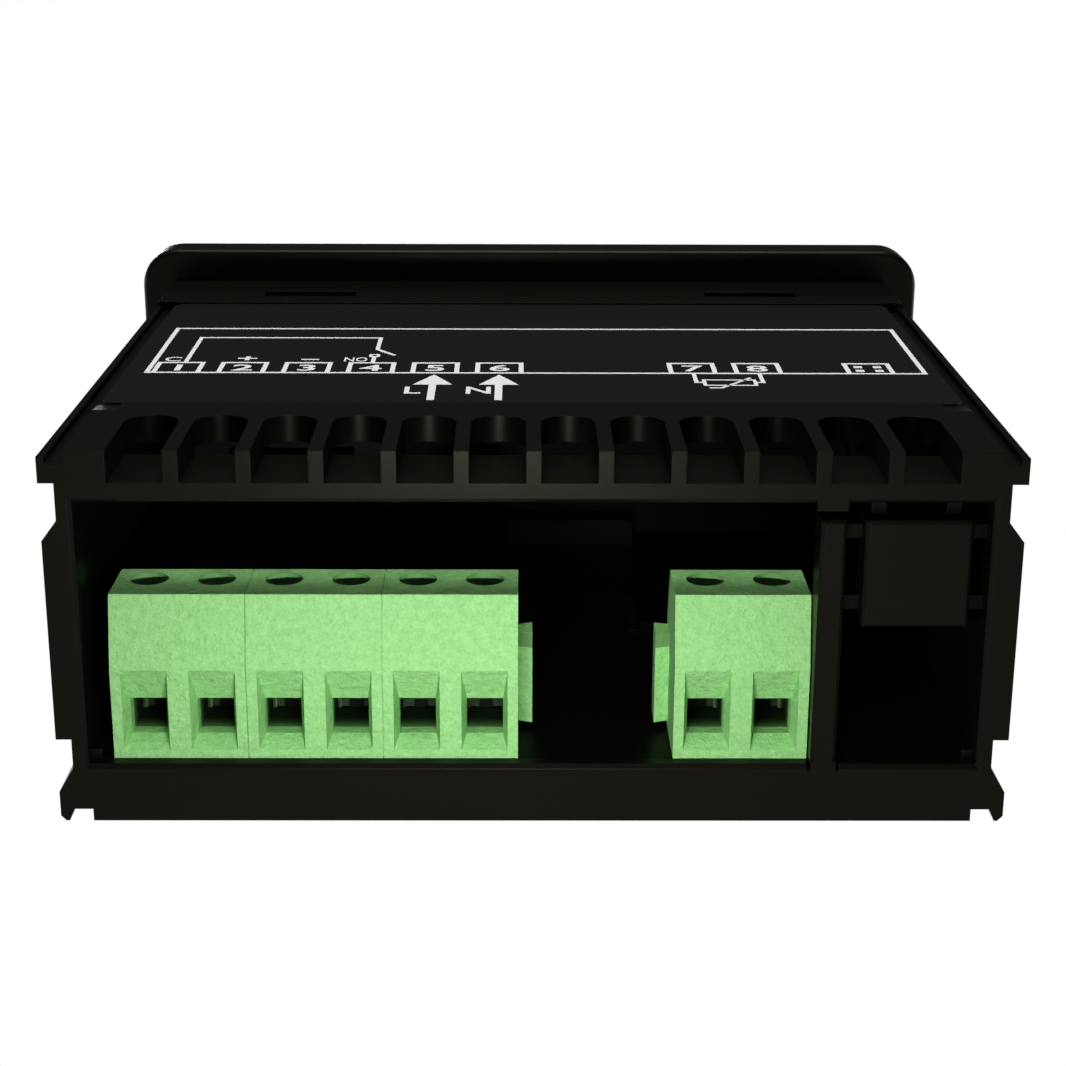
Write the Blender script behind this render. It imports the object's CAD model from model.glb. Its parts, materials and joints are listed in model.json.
# %% [markdown]
# # A slim temperature controller for a machine panel
# The real object is a black plastic box that slides through a slot in a control panel.
# Its bezel stays in front of the panel, and its back is open, with two groups of green screw
# terminals below a comb of notches in the top edge.
# The solid parts are already made to size in CAD. Here they get their finishes, their print,
# a studio and a camera. The first step loads them as a fixed frame that nothing may move.

# %% Load the solid parts
import json
import math
import bpy
from mathutils import Matrix, Vector


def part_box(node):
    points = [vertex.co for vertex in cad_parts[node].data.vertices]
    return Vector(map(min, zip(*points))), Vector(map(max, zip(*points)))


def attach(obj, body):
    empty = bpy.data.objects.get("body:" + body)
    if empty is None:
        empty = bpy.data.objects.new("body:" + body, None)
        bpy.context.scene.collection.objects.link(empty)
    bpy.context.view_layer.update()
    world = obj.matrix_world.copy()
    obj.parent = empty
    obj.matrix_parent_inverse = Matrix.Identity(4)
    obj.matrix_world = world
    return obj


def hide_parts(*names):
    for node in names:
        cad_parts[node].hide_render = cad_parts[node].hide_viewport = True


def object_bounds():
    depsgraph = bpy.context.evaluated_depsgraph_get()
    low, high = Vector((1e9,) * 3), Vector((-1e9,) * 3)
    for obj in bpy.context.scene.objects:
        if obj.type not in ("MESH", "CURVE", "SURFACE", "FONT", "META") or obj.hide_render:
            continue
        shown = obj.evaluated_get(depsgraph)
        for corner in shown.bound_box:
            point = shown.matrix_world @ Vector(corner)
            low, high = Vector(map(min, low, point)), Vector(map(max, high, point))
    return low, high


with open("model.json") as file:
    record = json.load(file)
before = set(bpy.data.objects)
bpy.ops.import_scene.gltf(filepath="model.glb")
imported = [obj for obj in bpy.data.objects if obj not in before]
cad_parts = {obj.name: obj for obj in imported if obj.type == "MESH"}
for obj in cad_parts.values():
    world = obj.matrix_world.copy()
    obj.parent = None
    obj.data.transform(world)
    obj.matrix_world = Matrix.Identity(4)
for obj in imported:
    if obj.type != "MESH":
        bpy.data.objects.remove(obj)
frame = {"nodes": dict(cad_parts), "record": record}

MM = 0.001
scene = bpy.context.scene
solids = frame["nodes"]
cad_low, cad_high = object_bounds()
print(len(solids), "solid nodes,", [round(v / MM, 1) for v in cad_high - cad_low], "mm")


# %% [markdown]
# ## Camera
# The controller is seen from behind and a little above, as someone who wires it sees it.
# A camera could be aimed with a constraint, but a fixed matrix is simpler to read:
# a turn about the upright, a tilt down, and a very small roll.

# %% Camera behind the terminals
CAMERA_PLACE = Vector((1.05, 205.37, 54.65)) * MM
CAMERA_TURN = math.radians(-0.402)
CAMERA_TILT = math.radians(17.96)
CAMERA_ROLL = math.radians(0.21)
SENSOR_WIDTH = 36
LENS = 70.45
NEAREST, FARTHEST = 0.005, 20


def looking(turn, tilt, roll):
    upright = Matrix.Rotation(math.pi + turn, 4, "Z")
    down = Matrix.Rotation(math.pi / 2 - tilt, 4, "X")
    return upright @ down @ Matrix.Rotation(roll, 4, "Z")


bpy.ops.object.select_all(action="DESELECT")
bpy.ops.object.camera_add()
camera = bpy.context.object
camera.name = "camera"
camera.data.sensor_width = SENSOR_WIDTH
camera.data.lens = LENS
camera.data.clip_start = NEAREST
camera.data.clip_end = FARTHEST
camera.matrix_world = (Matrix.Translation(CAMERA_PLACE)
                       @ looking(CAMERA_TURN, CAMERA_TILT, CAMERA_ROLL))
scene.camera = camera
print("camera", [round(v / MM, 1) for v in camera.location], "mm")

# %% [markdown]
# ## Studio
# The controller stands on a pale floor that runs into a pale dome, with no line between them.
# Both glow by themselves and are shown to the camera only, so that they brighten nothing;
# the floor alone is also mirrored in shiny faces, as a white table top is.
# A black object needs its light from a few soft lamps, because each one draws
# a highlight along its edges. A small lamp stands behind the box, just lower than its top, so
# it lights the terminals while the box shades the back of its own bezel. A wide lamp overhead
# lights the top, and three weaker ones keep the front and the sides from going black.

# %% Floor and dome
FLOOR_GAP = 0.4 * MM
STUDIO_RADIUS = 3


def glowing(name, brightness):
    glow = bpy.data.materials.new(name)
    glow.use_nodes = True
    shader = glow.node_tree.nodes["Principled BSDF"]
    shader.inputs["Base Color"].default_value = (0, 0, 0, 1)
    shader.inputs["Specular IOR Level"].default_value = 0
    shader.inputs["Emission Color"].default_value = (1, 1, 1, 1)
    shader.inputs["Emission Strength"].default_value = brightness
    return glow


def camera_only(thing):
    thing.visible_diffuse = False
    thing.visible_glossy = False
    thing.visible_transmission = False
    thing.visible_shadow = False


def select_only(*things):
    bpy.ops.object.select_all(action="DESELECT")
    for thing in things:
        thing.select_set(True)
    bpy.context.view_layer.objects.active = things[-1]


white = glowing("studio_white", 1.0)
bpy.ops.mesh.primitive_circle_add(vertices=96, radius=STUDIO_RADIUS, fill_type="NGON",
                                  location=(0, 0, cad_low.z - FLOOR_GAP))
floor = bpy.context.object
floor.name = "studio_floor"
bpy.ops.mesh.primitive_uv_sphere_add(segments=48, ring_count=24, radius=STUDIO_RADIUS)
dome = bpy.context.object
dome.name = "studio_dome"
for thing in (floor, dome):
    thing.data.materials.append(white)
    camera_only(thing)
floor.visible_glossy = True
scene.view_settings.view_transform = "Standard"
print("floor", round((cad_low.z - FLOOR_GAP) / MM, 2), "mm")

# %% Lamps, each with its place, aim and size in mm and its power in watts
LAMPS = {"terminal_lamp": ((4, 120, 11.4), (3, 60, -3), (26, 2), 0.042),
         "front_lamp": ((90, -330, -25), (0, 0, -6), (320, 70), 1.1),
         "left_lamp": ((-330, -70, -25), (0, 10, -6), (220, 70), 0.5),
         "right_lamp": ((330, -70, -25), (0, 10, -6), (220, 70), 0.5),
         "ceiling_lamp": ((0, 10, 420), (0, 20, 0), (260, 260), 1.95)}
AIR_TINT = (1, 0.97, 0.88, 1)
AIR_GLOW = 0.05


def lamp(name, place, aim, size, watts):
    bpy.ops.object.light_add(type="AREA")
    made = bpy.context.object
    made.name = name
    made.data.shape = "ELLIPSE"
    made.data.size = size[0] * MM
    made.data.size_y = size[1] * MM
    made.data.energy = watts
    direction = (Vector(aim) - Vector(place)).normalized()
    aimed = direction.to_track_quat("-Z", "Y").to_matrix().to_4x4()
    made.matrix_world = Matrix.Translation(Vector(place) * MM) @ aimed


for name, (place, aim, size, watts) in LAMPS.items():
    lamp(name, place, aim, size, watts)
world = bpy.data.worlds.new("studio_air")
world.use_nodes = True
world.node_tree.nodes["Background"].inputs["Color"].default_value = AIR_TINT
world.node_tree.nodes["Background"].inputs["Strength"].default_value = AIR_GLOW
scene.world = world

# %% [markdown]
# ## Shader maths as plain expressions
# A finish is a recipe: this noise times that, plus a little more. Wiring every Math node by
# hand hides the recipe, so one small class wraps a socket and lets Python's own signs build
# the nodes. A second class holds one material and makes every other kind of node.

# %% Sockets that can be added and multiplied
class Value:
    def __init__(self, tree, socket):
        self.tree = tree
        self.socket = socket

    def _math(self, operation, first, second=None):
        node = self.tree.nodes.new("ShaderNodeMath")
        node.operation = operation
        for slot, term in zip(node.inputs, (first, second)):
            if isinstance(term, Value):
                self.tree.links.new(term.socket, slot)
            elif term is not None:
                slot.default_value = term
        return Value(self.tree, node.outputs[0])

    def __add__(self, other):
        return self._math("ADD", self, other)

    def __radd__(self, other):
        return self._math("ADD", other, self)

    def __sub__(self, other):
        return self._math("SUBTRACT", self, other)

    def __rsub__(self, other):
        return self._math("SUBTRACT", other, self)

    def __mul__(self, other):
        return self._math("MULTIPLY", self, other)

    def __rmul__(self, other):
        return self._math("MULTIPLY", other, self)

    def __gt__(self, other):
        return self._math("GREATER_THAN", self, other)

    def __abs__(self):
        return self._math("ABSOLUTE", self)

    def clamped(self):
        return self._math("MAXIMUM", self._math("MINIMUM", self, 1.0), 0.0)


# %% One material and its nodes
finishes = {}
# A colour Mix node numbers its sockets: the share, the two colours, and the mixed colour
MIX_SHARE, MIX_FIRST, MIX_SECOND, MIX_COLOUR = 0, 6, 7, 2


class Finish:
    def __init__(self, name, colour, **constants):
        self.material = bpy.data.materials.new(name)
        finishes[name] = self.material
        self.material.use_nodes = True
        self.tree = self.material.node_tree
        self.shader = self.tree.nodes["Principled BSDF"]
        self.shader.inputs["Base Color"].default_value = (*colour, 1)
        for socket, number in constants.items():
            self.shader.inputs[socket.replace("_", " ")].default_value = number
        self.place = self.node("ShaderNodeTexCoord", output="Object")

    def node(self, kind, settings=None, sockets=None, output=0):
        made = self.tree.nodes.new(kind)
        for name, value in (settings or {}).items():
            setattr(made, name, value)
        for name, value in (sockets or {}).items():
            if isinstance(value, Value):
                self.tree.links.new(value.socket, made.inputs[name])
            else:
                made.inputs[name].default_value = value
        return Value(self.tree, made.outputs[output])

    def noise(self, size_mm, detail=2.0, rough=0.5):
        sockets = {"Vector": self.place, "Scale": 1 / (size_mm * MM),
                   "Detail": detail, "Roughness": rough}
        return self.node("ShaderNodeTexNoise", None, sockets, "Fac")

    def split(self, vector):
        return [self.node("ShaderNodeSeparateXYZ", None, {"Vector": vector}, k) for k in range(3)]

    def mix(self, share, first, second):
        first, second = ((*colour, 1) if isinstance(colour, tuple) else colour
                         for colour in (first, second))
        return self.node("ShaderNodeMix", {"data_type": "RGBA"},
                         {MIX_SHARE: share, MIX_FIRST: first, MIX_SECOND: second}, MIX_COLOUR)

    def feed(self, socket, value):
        self.tree.links.new(value.socket, self.shader.inputs[socket])

    def bump(self, height, depth_mm, strength=1.0, edge_mm=None):
        sockets = {"Height": height, "Distance": depth_mm * MM, "Strength": strength}
        if edge_mm:
            sockets["Normal"] = self.soft_edge(edge_mm)
        self.feed("Normal", self.node("ShaderNodeBump", None, sockets))

    def soft_edge(self, radius_mm):
        return self.node("ShaderNodeBevel", {"samples": 4}, {"Radius": radius_mm * MM})


print("shader helpers ready")

# %% [markdown]
# ## Black case plastic
# The case is injection moulded in one black plastic with a fine spark-eroded grain.
# On the real part the grain hardly shows, but it breaks the shine into a soft sheen, and
# every moulded edge catches a thin line of light. The Bevel node rounds the edges for the
# light alone, so the solids keep their exact size.

# %% Case and bezel finishes
WARM_SHINE = (1.0, 0.95, 0.74, 1)
CASE_BLACK = (0.0024, 0.0023, 0.0016)


def scaled(colour, factor):
    return tuple(channel * factor for channel in colour)


def moulded_black(name, colour, shine, grain_mm, edge_mm):
    finish = Finish(name, colour, Roughness=0.34, Specular_IOR_Level=shine,
                    Specular_Tint=WARM_SHINE)
    cloud = finish.noise(9.0, 3.0)
    grain = finish.noise(grain_mm, 2.0)
    finish.feed("Base Color", finish.mix(cloud, scaled(colour, 0.8), scaled(colour, 1.2)))
    finish.feed("Roughness", 0.3 + 0.1 * cloud + 0.06 * grain)
    finish.bump(grain, 0.012, 0.5, edge_mm)


moulded_black("case_plastic", CASE_BLACK, 0.078, 0.16, 0.12)
moulded_black("bezel_plastic", CASE_BLACK, 0.095, 0.2, 0.2)
moulded_black("key_plastic", (0.02, 0.02, 0.021), 0.4, 0.25, 0.15)
moulded_black("switch_black", (0.012, 0.012, 0.012), 0.3, 0.3, 0.1)
moulded_black("header_plastic", (0.0015, 0.0015, 0.0013), 0.06, 0.3, 0.1)
moulded_black("component_black", (0.0012, 0.0012, 0.0012), 0.03, 0.2, 0.1)
moulded_black("display_module", (0.03, 0.03, 0.032), 0.3, 0.3, 0.1)
print("black plastics ready")

# %% [markdown]
# ## Green terminal plastic
# Screw terminals are moulded in a flame-proof polyamide. Its colour is a fresh mint green
# with a fine speckle, and its surface is matt. Two noises of different size give the speckle,
# and the finer one also roughens it.
# Two places are painted darker by choice, so that the openings look deep in this light: the
# walls of the screw wells and the end walls of the clamp chambers.

# %% Where the screw wells are
well_low, well_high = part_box("terminal_screw_1")
WELL_REACH = 0.35 * MM
WELL_DEPTH = 4 * MM
FACES_UP, FACES_SIDEWAYS = 0.5, 0.98


def inside_wells(finish):
    """1 on the upright walls of the screw wells, 0 elsewhere."""
    spot = finish.split(finish.place)
    facing = finish.split(finish.node("ShaderNodeNewGeometry", output="Normal"))
    deep = (spot[1] > well_low.y - WELL_REACH) * (1 - (spot[1] > well_high.y + WELL_REACH))
    upright = 1 - (abs(facing[2]) > FACES_UP)
    curved = 1 - (abs(facing[0]) > FACES_SIDEWAYS)
    return deep * upright * curved * (spot[2] > well_high.z - WELL_DEPTH)


print("wells painted above", round((well_high.z - WELL_DEPTH) / MM, 2), "mm")

# %% Where the clamp chambers end
cage_low, cage_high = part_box("clamp_cage_1")
CHAMBER_BACK = cage_low.y + 0.15 * MM
FACES_BACK = 0.9


def inside_chambers(finish):
    """1 on the end walls behind the cages, 0 elsewhere."""
    spot = finish.split(finish.place)
    facing = finish.split(finish.node("ShaderNodeNewGeometry", output="Normal"))
    return (facing[1] > FACES_BACK) * (1 - (spot[1] > CHAMBER_BACK))


print("chambers end at", round(CHAMBER_BACK / MM, 2), "mm")

# %% Terminal finish
FRESH_LIGHT, FRESH_DARK = (0.375, 0.78, 0.285), (0.27, 0.61, 0.2)
WELL_GREEN = (0.14, 0.32, 0.105)
CHAMBER_GREEN = (0.016, 0.04, 0.011)


def terminal_finish():
    finish = Finish("terminal_green", FRESH_LIGHT, Roughness=0.62, Specular_IOR_Level=0.3)
    speckle = finish.noise(0.2, 2.5, 0.75)
    patch = finish.noise(0.6, 3.0, 0.65)
    blend = (speckle * 1.9 + patch * 1.7 - 1.3).clamped()
    fresh = finish.mix(blend, FRESH_DARK, FRESH_LIGHT)
    with_wells = finish.mix(inside_wells(finish), fresh, WELL_GREEN)
    finish.feed("Base Color", finish.mix(inside_chambers(finish), with_wells, CHAMBER_GREEN))
    finish.feed("Roughness", 0.55 + 0.18 * speckle)
    finish.bump(speckle * 0.35 + patch, 0.2, 1.0, 0.04)
    return finish.material


terminal_green = terminal_finish()
print("terminal plastic ready")

# %% [markdown]
# ## Metals
# The clamp screws are dull plated steel, the cages have an olive passivated plating and the
# contacts are tinned brass. Plating is smooth with faint streaks, so a stretched noise varies
# only the roughness and a little of the colour. All three are much darker than clean metal,
# because they stand deep in narrow openings and shouldn't shine out of them.

# %% Plated metals
def plated(name, colour, roughness, streak_mm):
    finish = Finish(name, colour, Metallic=1.0, Roughness=roughness)
    stretched = finish.node("ShaderNodeMapping", None,
                            {"Vector": finish.place, "Scale": (1, 1, 0.15)})
    streak = finish.node("ShaderNodeTexNoise", None,
                         {"Vector": stretched, "Scale": 1 / (streak_mm * MM), "Detail": 3.0}, "Fac")
    finish.feed("Base Color", finish.mix(streak, scaled(colour, 0.8), colour))
    finish.feed("Roughness", roughness - 0.08 + 0.16 * streak)
    finish.bump(streak, 0.004, 0.4, 0.06)


plated("plated_steel", (0.018, 0.021, 0.016), 0.62, 0.5)
plated("tinned_brass", (0.012, 0.014, 0.01), 0.6, 0.4)
plated("core_steel", (0.01, 0.01, 0.01), 0.6, 0.8)

# %% Olive cages, painted greener towards their mouths, where green plastic surrounds them
MOUTH_DEEP = 2.0 * MM
CAGE_DARK, MOUTH_GREEN = (0.012, 0.024, 0.009), (0.13, 0.3, 0.09)


def passivated_cage():
    finish = Finish("cage_nickel", (0.02, 0.03, 0.015), Roughness=0.6, Specular_IOR_Level=0.1)
    streak = finish.noise(0.6, 3.0)
    spot = finish.split(finish.place)
    mouth = ((spot[1] - (cage_high.y - MOUTH_DEEP)) * (1 / MOUTH_DEEP)).clamped()
    share = mouth * mouth * (0.85 + 0.3 * streak)
    finish.feed("Base Color", finish.mix(share, CAGE_DARK, MOUTH_GREEN))
    finish.feed("Metallic", 0.5 - 0.5 * mouth)
    finish.feed("Roughness", 0.52 + 0.16 * streak)
    finish.bump(streak, 0.004, 0.4, 0.06)


passivated_cage()
print("metals ready")

# %% [markdown]
# ## Board, label and the parts inside
# The circuit boards have a dark, rather dull solder mask. The label is a black polyester film,
# a shade lighter than the case. The window is smoked acrylic. What is deep inside is dark.

# %% Boards, label and window
def solder_mask():
    finish = Finish("circuit_board", (0.002, 0.003, 0.002), Roughness=0.4, Specular_IOR_Level=0.04)
    weave = finish.noise(0.35, 2.0)
    finish.feed("Base Color", finish.mix(weave, (0.0016, 0.0022, 0.0014), (0.0024, 0.0032, 0.002)))
    finish.feed("Roughness", 0.35 + 0.1 * weave)
    finish.bump(weave, 0.004, 0.3)


def polyester_film():
    finish = Finish("label_film", (0.0095, 0.0093, 0.0085), Roughness=0.4, Specular_IOR_Level=0.08,
                    Specular_Tint=WARM_SHINE)
    cloud = finish.noise(6.0, 2.0)
    finish.feed("Roughness", 0.36 + 0.08 * cloud)
    finish.feed("Base Color",
                finish.mix(cloud, (0.0056, 0.0053, 0.0047), (0.0065, 0.0062, 0.0056)))
    return finish.material


def smoked_acrylic():
    finish = Finish("smoked_window", (0.012, 0.006, 0.006), Roughness=0.08, IOR=1.49,
                    Specular_IOR_Level=0.22)
    cloud = finish.noise(14.0, 1.0)
    finish.feed("Alpha", 0.66 + 0.04 * cloud)
    finish.feed("Roughness", 0.07 + 0.03 * cloud)


solder_mask()
label_film = polyester_film()
smoked_acrylic()
print("board, label and window ready")


# %% Small coloured parts
def dipped(name, light, dark, roughness, size_mm):
    finish = Finish(name, light, Roughness=roughness, Specular_IOR_Level=0.1)
    cloud = finish.noise(size_mm, 2.0)
    finish.feed("Base Color", finish.mix(cloud, dark, light))
    finish.feed("Roughness", roughness - 0.05 + 0.1 * cloud)
    finish.bump(cloud, 0.01, 0.4)


dipped("coil_tape", (0.004, 0.003, 0.001), (0.003, 0.002, 0.001), 0.5, 1.2)
dipped("capacitor_sleeve", (0.0012, 0.0012, 0.0016), (0.001, 0.001, 0.0013), 0.6, 2.0)
dipped("varistor_coat", (0.01, 0.02, 0.05), (0.008, 0.015, 0.04), 0.35, 1.5)
dipped("lamp_resin", (0.5, 0.48, 0.42), (0.4, 0.38, 0.33), 0.3, 0.8)
print("small parts ready")

# %% [markdown]
# ## Put the finishes on the solids
# Each solid names its material slot in the record. Going through the record keeps one list
# of finishes for the whole object, and a solid whose slot has no finish stops the script.

# %% Finish for every solid
for part in frame["record"]["subparts"]:
    solid = solids[part["node"]]
    solid.data.materials.clear()
    solid.data.materials.append(finishes[part["material_slot"]])
print(len(finishes), "finishes on", len(solids), "solids")

# %% [markdown]
# ## Label
# The label is a thin film with rounded corners, stuck in a shallow recess that reaches from
# one rail to the other. The solid stands for it with square corners and a wider margin, so it
# is replaced here. It starts as a block of the film's size, and only its four upright edges are
# bevelled, because the film's faces must stay flat for the print.

# %% Label film
label_low, label_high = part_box("rating_label")
label_middle = (label_low + label_high) / 2
FILM_WIDTH = 67.0
FILM_CORNER = 1.2
HAIR = 0.01 * MM


def block(name, low, high):
    bpy.ops.object.select_all(action="DESELECT")
    bpy.ops.mesh.primitive_cube_add(size=1, location=(low + high) / 2, scale=high - low)
    made = bpy.context.object
    made.name = name
    bpy.ops.object.transform_apply(location=True, rotation=True, scale=True)
    return made


def round_upright_edges(thing, radius_mm, segments):
    select_only(thing)
    bpy.ops.object.mode_set(mode="EDIT")
    bpy.ops.mesh.select_mode(type="EDGE")
    bpy.ops.mesh.select_all(action="DESELECT")
    bpy.ops.object.mode_set(mode="OBJECT")
    for edge in thing.data.edges:
        start, end = (thing.data.vertices[k].co for k in edge.vertices)
        edge.select = (start - end).to_2d().length < HAIR
    bpy.ops.object.mode_set(mode="EDIT")
    bpy.ops.mesh.bevel(offset=radius_mm * MM, segments=segments)
    bpy.ops.object.mode_set(mode="OBJECT")


def joined(name, things, material):
    """One named piece in one material, made of several."""
    select_only(*things)
    bpy.ops.object.join()
    made = bpy.context.object
    made.name = name
    made.data.materials.clear()
    made.data.materials.append(material)
    return made


film_half = Vector((FILM_WIDTH * MM / 2, 0, 0))
label_face = block("label_face", Vector((0, label_low.y, label_low.z)) - film_half,
                   Vector((0, label_high.y, label_high.z)) + film_half)
round_upright_edges(label_face, FILM_CORNER, 5)
label_face.data.materials.append(label_film)
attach(label_face, "controller")
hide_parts("rating_label")
print("label", len(label_face.data.polygons), "faces", FILM_WIDTH, "mm wide")

# %% [markdown]
# ## Ribs between the terminal blocks
# Terminal blocks hook into each other with ribs down their sides, so from behind the joint is
# only a faint line. Two thin strips stand for those ribs, just behind the blocks' faces. A
# block's face leans back above the wire entries, so each strip is cut along that lean.

# %% The lean of a block's face
corners = [vertex.co for vertex in solids["terminal_block_2"].data.vertices]
block_low, block_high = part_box("terminal_block_2")
flat_top = [corner.y for corner in corners if corner.z > block_high.z - HAIR]
brow_z = max(corner.z for corner in corners if corner.y > block_high.y - HAIR)
lean_normal = Vector((0, block_high.z - brow_z, block_high.y - max(flat_top))).normalized()
print("face upright up to", round(brow_z / MM, 2), "mm")

# %% Two ribs
ribs = []
RIB_BACK = 0.14 * MM
RIB_CORNER = 0.015
for nearer, farther in (("terminal_block_2", "terminal_block_1"),
                        ("terminal_block_3", "terminal_block_2")):
    low = Vector((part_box(nearer)[1].x, min(flat_top) + RIB_BACK, block_low.z + RIB_BACK))
    high = Vector((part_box(farther)[0].x, block_high.y - RIB_BACK, block_high.z - RIB_BACK))
    rib = block("rib", low, high)
    round_upright_edges(rib, RIB_CORNER, 2)
    bpy.ops.object.mode_set(mode="EDIT")
    bpy.ops.mesh.select_all(action="SELECT")
    bpy.ops.mesh.bisect(plane_co=(0, high.y, brow_z), plane_no=lean_normal,
                        use_fill=True, clear_outer=True)
    bpy.ops.object.mode_set(mode="OBJECT")
    ribs.append(rib)
block_ribs = joined("block_ribs", ribs, terminal_green)
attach(block_ribs, "controller")
print(len(ribs), "ribs")

# %% [markdown]
# ## Print on the label
# A controller's label shows which wire goes to which screw: a frame, a numbered box for each
# terminal, the relay's contact, the sensor and two arrows for the supply. The ink could be a
# mask in the label's material, but thin raised shapes stay sharp from any distance and in an
# exported model. Each mark is a flat curve with a little thickness, made a mesh and then laid
# in place. The print is read from behind, so it is turned half round.

# %% Ink and how a flat mark is laid
HALF_INK = 0.02 * MM
ink = Finish("white_ink", (0.8, 0.8, 0.8), Roughness=0.5, Specular_IOR_Level=0.2)
patchy = ink.noise(0.4, 2.0)
ink.feed("Base Color", ink.mix(patchy, (0.66, 0.66, 0.66), (0.78, 0.78, 0.78)))
ink.feed("Roughness", 0.45 + 0.15 * patchy)
DRAWN_IN_MM = Matrix.Diagonal((MM, MM, 1, 1))
label_place = (Matrix.Translation((label_middle.x, label_high.y, label_high.z + HALF_INK))
               @ Matrix.Rotation(math.pi, 4, "Z") @ DRAWN_IN_MM)
print("print", round(2 * HALF_INK / MM, 2), "mm thick")


def on_front(x, y, z):
    """A place on a face that looks forward: a drawing's x goes to +X and its y goes up."""
    return Matrix.Translation((x, y, z)) @ Matrix.Rotation(math.pi / 2, 4, "X") @ DRAWN_IN_MM


def laid(thing, place):
    select_only(thing)
    bpy.ops.object.convert(target="MESH")
    thing = bpy.context.object
    thing.data.transform(place)
    thing.data.update()
    return thing


# %% Marks from outlines, strokes and text
def outline_mark(outlines, place=label_place, half_thickness=HALF_INK):
    curve = bpy.data.curves.new("mark", "CURVE")
    curve.dimensions = "2D"
    curve.fill_mode = "BOTH"
    curve.extrude = half_thickness
    for outline in outlines:
        spline = curve.splines.new("POLY")
        spline.points.add(len(outline) - 1)
        for point, (x, y) in zip(spline.points, outline):
            point.co = (x, y, 0, 1)
        spline.use_cyclic_u = True
    mark = bpy.data.objects.new("mark", curve)
    scene.collection.objects.link(mark)
    return laid(mark, place)


def rectangle(left, right, near, far):
    return [(left, near), (right, near), (right, far), (left, far)]


def hollow_rectangle(left, right, near, far, line):
    return outline_mark([rectangle(left, right, near, far),
                         rectangle(left + line, right - line, near + line, far - line)])


def circle(x, y, radius, corners=32):
    return [(x + radius * math.cos(turn), y + radius * math.sin(turn))
            for turn in (2 * math.pi * k / corners for k in range(corners))]


def stroke(points, line):
    """A bent line of even width, with mitred corners."""
    spots = [Vector(p) for p in points]
    sides = {1: [], -1: []}
    for k, spot in enumerate(spots):
        before = (spot - spots[k - 1]).normalized() if k else None
        after = (spots[k + 1] - spot).normalized() if k + 1 < len(spots) else None
        ahead = ((before or after) + (after or before)).normalized()
        across = Vector((-ahead.y, ahead.x))
        square = after or before
        reach = line / 2 / max(0.3, abs(across.dot(Vector((-square.y, square.x)))))
        for side in sides:
            sides[side].append(tuple(spot + across * reach * side))
    return outline_mark([sides[1] + sides[-1][::-1]])


CAPITAL_SHARE = 0.7


def words(text, x, y, height, wide=1.3, bold=0.05):
    """Centred text whose capitals are so high; wide stretches it sideways."""
    bpy.ops.object.select_all(action="DESELECT")
    bpy.ops.object.text_add()
    made = bpy.context.object
    made.data.body = text
    made.data.size = height / CAPITAL_SHARE
    made.data.align_x = "CENTER"
    made.data.offset = bold
    made.data.extrude = HALF_INK
    made.data.resolution_u = 3
    stretched = Matrix.Translation((x, y, 0)) @ Matrix.Diagonal((wide, 1, 1, 1))
    return laid(made, label_place @ stretched)


print("ink ready")

# %% Frame, numbered boxes and arrows
# x runs to the reader's right from the label's middle, y away from the reader from its near edge
LINE = 0.4
FRAME_LEFT, FRAME_RIGHT, FRAME_NEAR, FRAME_FAR = -31.8, 32.5, 9.7, 26.8
BOX_WIDE = 4.0
BOX_BASE, BOX_TOP = FRAME_NEAR + LINE, FRAME_NEAR + 3.9
marks = [hollow_rectangle(FRAME_LEFT, FRAME_RIGHT, FRAME_NEAR, FRAME_FAR, LINE)]
power_boxes = [-29.25 + 5.31 * k for k in range(6)]
sensor_boxes = [13.25, 18.65]


def numbered_box(x, text=None):
    left, right = x - BOX_WIDE / 2 + LINE / 2, x + BOX_WIDE / 2 - LINE / 2
    top = BOX_TOP - LINE / 2
    made = [stroke([(left, BOX_BASE), (left, top), (right, top), (right, BOX_BASE)], LINE)]
    if text:
        made.append(words(text, x, BOX_BASE + 0.55, 2.0))
    return made


def arrow(x):
    tip, barb, tail = 9.3, 5.9, 0.9
    half_head, half_shaft = 1.6, 0.3
    return outline_mark([[(x, tip), (x - half_head, barb), (x - half_shaft, barb),
                          (x - half_shaft, tail), (x + half_shaft, tail),
                          (x + half_shaft, barb), (x + half_head, barb)]])


for number, x in enumerate(power_boxes + sensor_boxes, 1):
    marks += numbered_box(x, str(number))
for x, letter in zip(power_boxes[4:], ("L", "N")):
    marks.append(arrow(x))
    marks.append(words(letter, x - 1.6, 3.0, 2.2, 0.95))
POLE_SIGNS = 14.0
marks.append(words("+", power_boxes[1], POLE_SIGNS, 1.9, 1.2))
marks.append(words("-", power_boxes[2], POLE_SIGNS, 1.9, 2.0))
print(len(marks), "marks so far")

# %% Relay contact, sensor and port
WIRE_LINE, LEAD_LINE = 0.36, 0.34
RELAY_FAR, CONTACT_NEAR = 22.9, 15.6
LEAD_Y = 6.8
CONTACT_LETTERS = 13.9
first, fourth = power_boxes[0], power_boxes[3]
marks.append(stroke([(first + 0.3, BOX_TOP), (first + 0.3, RELAY_FAR), (fourth + 0.1, RELAY_FAR),
                     (fourth + 0.1, 18.4), (fourth + 1.7, 16.2)], WIRE_LINE))
marks.append(hollow_rectangle(fourth - 0.45, fourth + 0.45, CONTACT_NEAR, 16.6, 0.28))
marks.append(stroke([(fourth, BOX_TOP), (fourth, CONTACT_NEAR)], WIRE_LINE))
seventh, eighth = sensor_boxes
for box, inward in ((seventh, 0.5), (eighth, -0.5)):
    marks.append(stroke([(box, FRAME_NEAR), (box, LEAD_Y), (box + inward, LEAD_Y)], LEAD_LINE))
marks.append(hollow_rectangle(seventh + 0.5, eighth - 0.5, 5.7, 7.8, 0.3))
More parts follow.
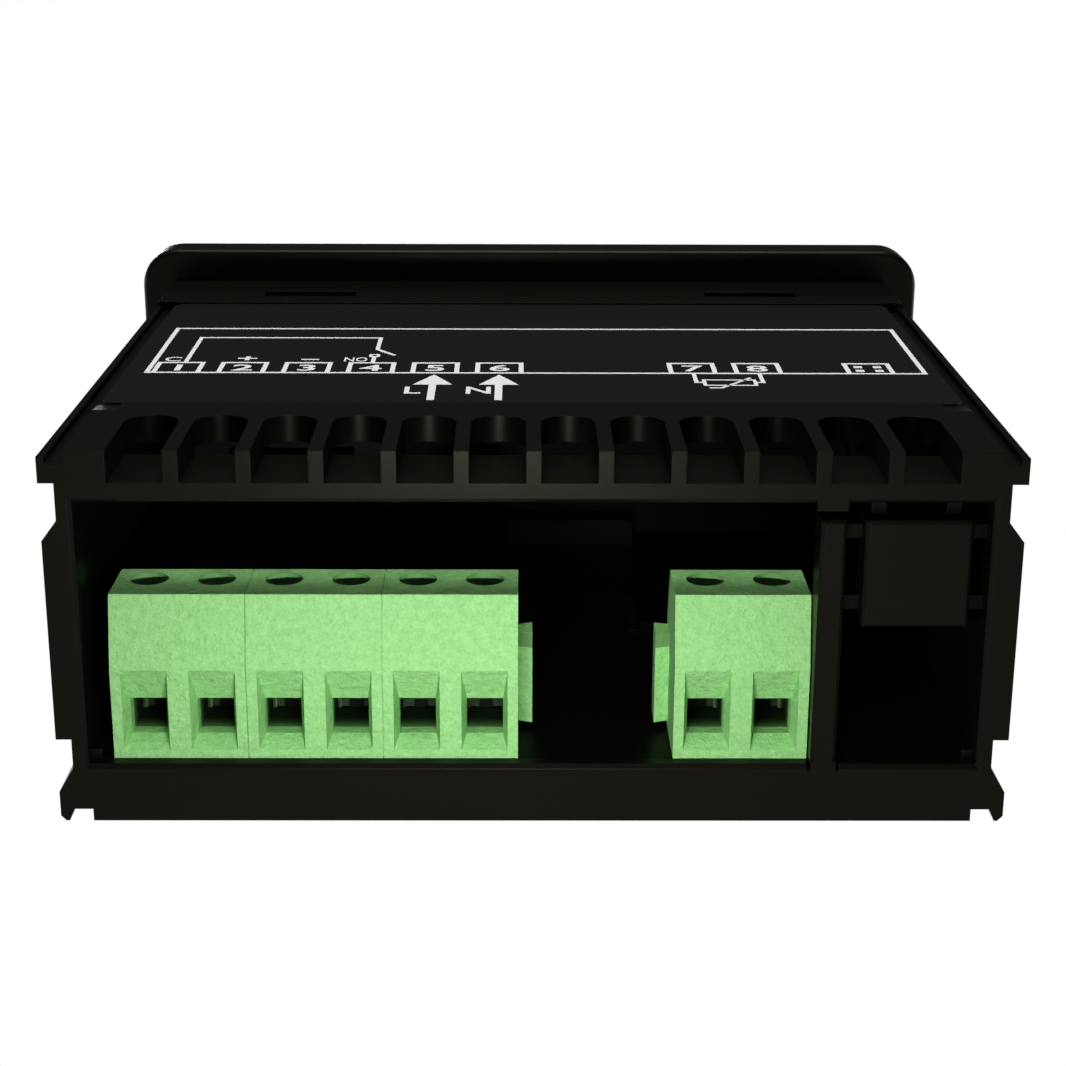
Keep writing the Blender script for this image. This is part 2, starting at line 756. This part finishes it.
marks.append(stroke([(seventh + 0.9, 5.0), (seventh + 1.9, 5.0), (eighth - 0.9, 8.4)], 0.3))
port = 27.9
marks += numbered_box(port)
for x in (port - 0.8, port + 0.8):
    for y in (BOX_BASE + 0.8, BOX_BASE + 2.1):
        marks.append(outline_mark([rectangle(x - 0.35, x + 0.35, y - 0.35, y + 0.35)]))
marks.append(words("C", first - 0.9, CONTACT_LETTERS, 1.5, 1.0, 0.02))
marks.append(words("NO", fourth - 1.5, CONTACT_LETTERS, 1.5, 0.6, 0.02))
label_print = joined("label_print", marks, ink.material)
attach(label_print, "controller")
print("label print", len(label_print.data.polygons), "faces")

# %% [markdown]
# ## Marks on the keys
# Each key carries one plain sign: up, down, a list for the menu, and a ring with a dot to set.
# They are printed on the key's face, so each is a piece of its own that rides on its key
# and goes in with it.

# %% Key signs
bars = [rectangle(-1.6, 1.6, y - 0.25, y + 0.25) for y in (-1.1, 0, 1.1)]
signs = {"key_up": [[[(-1.7, -1.3), (1.7, -1.3), (0, 1.6)]]],
         "key_down": [[[(-1.7, 1.3), (0, -1.6), (1.7, 1.3)]]],
         "key_menu": [[bar] for bar in bars],
         "key_set": [[circle(0, 0, 1.6), circle(0, 0, 1.2)], [circle(0, 0, 0.5)]]}
for key, shapes in signs.items():
    key_low, key_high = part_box(key)
    place = on_front((key_low.x + key_high.x) / 2, key_low.y, (key_low.z + key_high.z) / 2)
    sign = joined(key + "_sign", [outline_mark(shape, place) for shape in shapes], ink.material)
    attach(sign, key)
print(len(signs), "key signs")

# %% [markdown]
# ## Digits
# Behind the window is a four-digit module. Each digit is seven milky bars in a shallow well,
# and they stay pale while the power is off. One bar is drawn as a six-sided outline, the other
# six are its copies, turned or shifted, and the whole digit leans a little, as on most
# displays. The lean is a skew of the finished outline, so no bar bends.

# %% Milky bars
milky = Finish("milky_segment", (0.42, 0.36, 0.34), Roughness=0.4, Specular_IOR_Level=0.3)
haze = milky.noise(0.8, 2.0)
milky.feed("Base Color", milky.mix(haze, (0.34, 0.28, 0.26), (0.44, 0.38, 0.36)))
milky.feed("Roughness", 0.35 + 0.15 * haze)
BAR_LONG, BAR_WIDE, BAR_GAP, LEAN = 4.6, 0.95, 0.12, 0.1
BAR_HALF_THICK = 0.05 * MM
DIGIT_WELL = 0.2 * MM
DIGITS = 4
DOT_ROOM = 0.3 * MM
DOT_ASIDE, DOT_RADIUS = 0.75, 0.5
display_low, display_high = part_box("led_display")


def bar(x, y, upright):
    half, tip = BAR_LONG / 2 - BAR_GAP, BAR_WIDE / 2
    along = [(-half, 0), (-half + tip, -tip), (half - tip, -tip),
             (half, 0), (half - tip, tip), (-half + tip, tip)]
    corners = [(-b, a) if upright else (a, b) for a, b in along]
    return [(x + a + LEAN * (y + b), y + b) for a, b in corners]


def digit(place):
    side, tall = BAR_LONG / 2, BAR_LONG
    lying = [bar(0, y, False) for y in (-tall, 0, tall)]
    standing = [bar(x, y, True) for x in (-side, side) for y in (-side, side)]
    dot = circle(side + DOT_ASIDE, -tall, DOT_RADIUS, 20)
    return [outline_mark([shape], place, BAR_HALF_THICK) for shape in lying + standing + [dot]]


# %% Four digits in their wells
pitch = (display_high.x - display_low.x) / DIGITS
bars_made = []
for k in range(DIGITS):
    x = display_low.x + (k + 0.5) * pitch - DOT_ROOM
    bars_made += digit(on_front(x, display_low.y + DIGIT_WELL - BAR_HALF_THICK,
                                (display_low.z + display_high.z) / 2))
display_digits = joined("display_digits", bars_made, milky.material)
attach(display_digits, "controller")
print(len(bars_made), "bars and dots")
